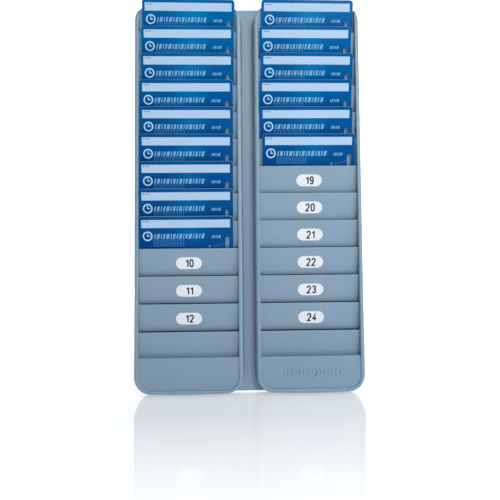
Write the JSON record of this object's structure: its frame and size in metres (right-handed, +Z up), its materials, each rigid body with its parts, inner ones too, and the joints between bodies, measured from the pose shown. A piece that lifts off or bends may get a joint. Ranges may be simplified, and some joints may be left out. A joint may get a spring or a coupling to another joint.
{
  "type": "wall rack for time clock badges",
  "caption": "Wall rack with side-by-side columns of slanted numbered pockets on a shared back plate, part filled with blue proximity badges that lift out.",
  "frame": {"origin": "centre of the back plate's rear face, on the wall", "axes": "+Z up, +Y into the wall, the reader stands on the -Y side with +X to the right"},
  "size_m": [0.2094, 0.0188, 0.3615],
  "materials": {
    "rack_plastic": "satin moulded grey-blue",
    "plate_plastic": "satin grey-blue sheet",
    "badge_plastic": "printed blue gloss",
    "inlay_plastic": "matt white sheet",
    "label_paper": "matt white",
    "label_ink": "printed dark ink",
    "badge_ink": "printed pale ink under laminate",
    "name_strip": "matt writing strip",
    "screw_steel": "zinc plated"
  },
  "bodies": {
    "rack": {"back_plate": "plate_plastic", "column_screws": "screw_steel", "left_column_frame": "rack_plastic", "right_column_frame": "rack_plastic", "left_pocket_leaf_02": "rack_plastic", "left_pocket_leaf_03": "rack_plastic", "left_pocket_leaf_04": "rack_plastic", "left_pocket_leaf_05": "rack_plastic", "left_pocket_leaf_06": "rack_plastic", "left_pocket_leaf_07": "rack_plastic", "left_pocket_leaf_08": "rack_plastic", "left_pocket_leaf_09": "rack_plastic", "left_pocket_leaf_10": "rack_plastic", "left_pocket_leaf_11": "rack_plastic", "left_pocket_leaf_12": "rack_plastic", "right_pocket_leaf_02": "rack_plastic", "right_pocket_leaf_03": "rack_plastic", "right_pocket_leaf_04": "rack_plastic", "right_pocket_leaf_05": "rack_plastic", "right_pocket_leaf_06": "rack_plastic", "right_pocket_leaf_07": "rack_plastic", "right_pocket_leaf_08": "rack_plastic", "right_pocket_leaf_09": "rack_plastic", "right_pocket_leaf_10": "rack_plastic", "right_pocket_leaf_11": "rack_plastic", "right_pocket_leaf_12": "rack_plastic", "left_number_labels": "label_paper", "right_number_labels": "label_paper"},
    "badge_01": {"badge_01_shell": "badge_plastic", "badge_01_antenna_inlay": "inlay_plastic"},
    "badge_02": {"badge_02_shell": "badge_plastic", "badge_02_antenna_inlay": "inlay_plastic"},
    "badge_03": {"badge_03_shell": "badge_plastic", "badge_03_antenna_inlay": "inlay_plastic"},
    "badge_04": {"badge_04_shell": "badge_plastic", "badge_04_antenna_inlay": "inlay_plastic"},
    "badge_05": {"badge_05_shell": "badge_plastic", "badge_05_antenna_inlay": "inlay_plastic"},
    "badge_06": {"badge_06_shell": "badge_plastic", "badge_06_antenna_inlay": "inlay_plastic"},
    "badge_07": {"badge_07_shell": "badge_plastic", "badge_07_antenna_inlay": "inlay_plastic"},
    "badge_08": {"badge_08_shell": "badge_plastic", "badge_08_antenna_inlay": "inlay_plastic"},
    "badge_09": {"badge_09_shell": "badge_plastic", "badge_09_antenna_inlay": "inlay_plastic"},
    "badge_13": {"badge_13_shell": "badge_plastic", "badge_13_antenna_inlay": "inlay_plastic"},
    "badge_14": {"badge_14_shell": "badge_plastic", "badge_14_antenna_inlay": "inlay_plastic"},
    "badge_15": {"badge_15_shell": "badge_plastic", "badge_15_antenna_inlay": "inlay_plastic"},
    "badge_16": {"badge_16_shell": "badge_plastic", "badge_16_antenna_inlay": "inlay_plastic"},
    "badge_17": {"badge_17_shell": "badge_plastic", "badge_17_antenna_inlay": "inlay_plastic"},
    "badge_18": {"badge_18_shell": "badge_plastic", "badge_18_antenna_inlay": "inlay_plastic"}
  },
  "joints": [
    {"name": "badge_01_lift", "type": "slide", "parent": "rack", "child": "badge_01", "axis": [0, -0.1908, 0.9816], "range_m": [0, 0.04]},
    {"name": "badge_02_lift", "type": "slide", "parent": "rack", "child": "badge_02", "axis": [0, -0.1908, 0.9816], "range_m": [0, 0.04]},
    {"name": "badge_03_lift", "type": "slide", "parent": "rack", "child": "badge_03", "axis": [0, -0.1908, 0.9816], "range_m": [0, 0.04]},
    {"name": "badge_04_lift", "type": "slide", "parent": "rack", "child": "badge_04", "axis": [0, -0.1908, 0.9816], "range_m": [0, 0.04]},
    {"name": "badge_05_lift", "type": "slide", "parent": "rack", "child": "badge_05", "axis": [0, -0.1908, 0.9816], "range_m": [0, 0.04]},
    {"name": "badge_06_lift", "type": "slide", "parent": "rack", "child": "badge_06", "axis": [0, -0.1908, 0.9816], "range_m": [0, 0.04]},
    {"name": "badge_07_lift", "type": "slide", "parent": "rack", "child": "badge_07", "axis": [0, -0.1908, 0.9816], "range_m": [0, 0.04]},
    {"name": "badge_08_lift", "type": "slide", "parent": "rack", "child": "badge_08", "axis": [0, -0.1908, 0.9816], "range_m": [0, 0.04]},
    {"name": "badge_09_lift", "type": "slide", "parent": "rack", "child": "badge_09", "axis": [0, -0.1908, 0.9816], "range_m": [0, 0.04]},
    {"name": "badge_13_lift", "type": "slide", "parent": "rack", "child": "badge_13", "axis": [0, -0.1908, 0.9816], "range_m": [0, 0.04]},
    {"name": "badge_14_lift", "type": "slide", "parent": "rack", "child": "badge_14", "axis": [0, -0.1908, 0.9816], "range_m": [0, 0.04]},
    {"name": "badge_15_lift", "type": "slide", "parent": "rack", "child": "badge_15", "axis": [0, -0.1908, 0.9816], "range_m": [0, 0.04]},
    {"name": "badge_16_lift", "type": "slide", "parent": "rack", "child": "badge_16", "axis": [0, -0.1908, 0.9816], "range_m": [0, 0.04]},
    {"name": "badge_17_lift", "type": "slide", "parent": "rack", "child": "badge_17", "axis": [0, -0.1908, 0.9816], "range_m": [0, 0.04]},
    {"name": "badge_18_lift", "type": "slide", "parent": "rack", "child": "badge_18", "axis": [0, -0.1908, 0.9816], "range_m": [0, 0.04]}
  ]
}
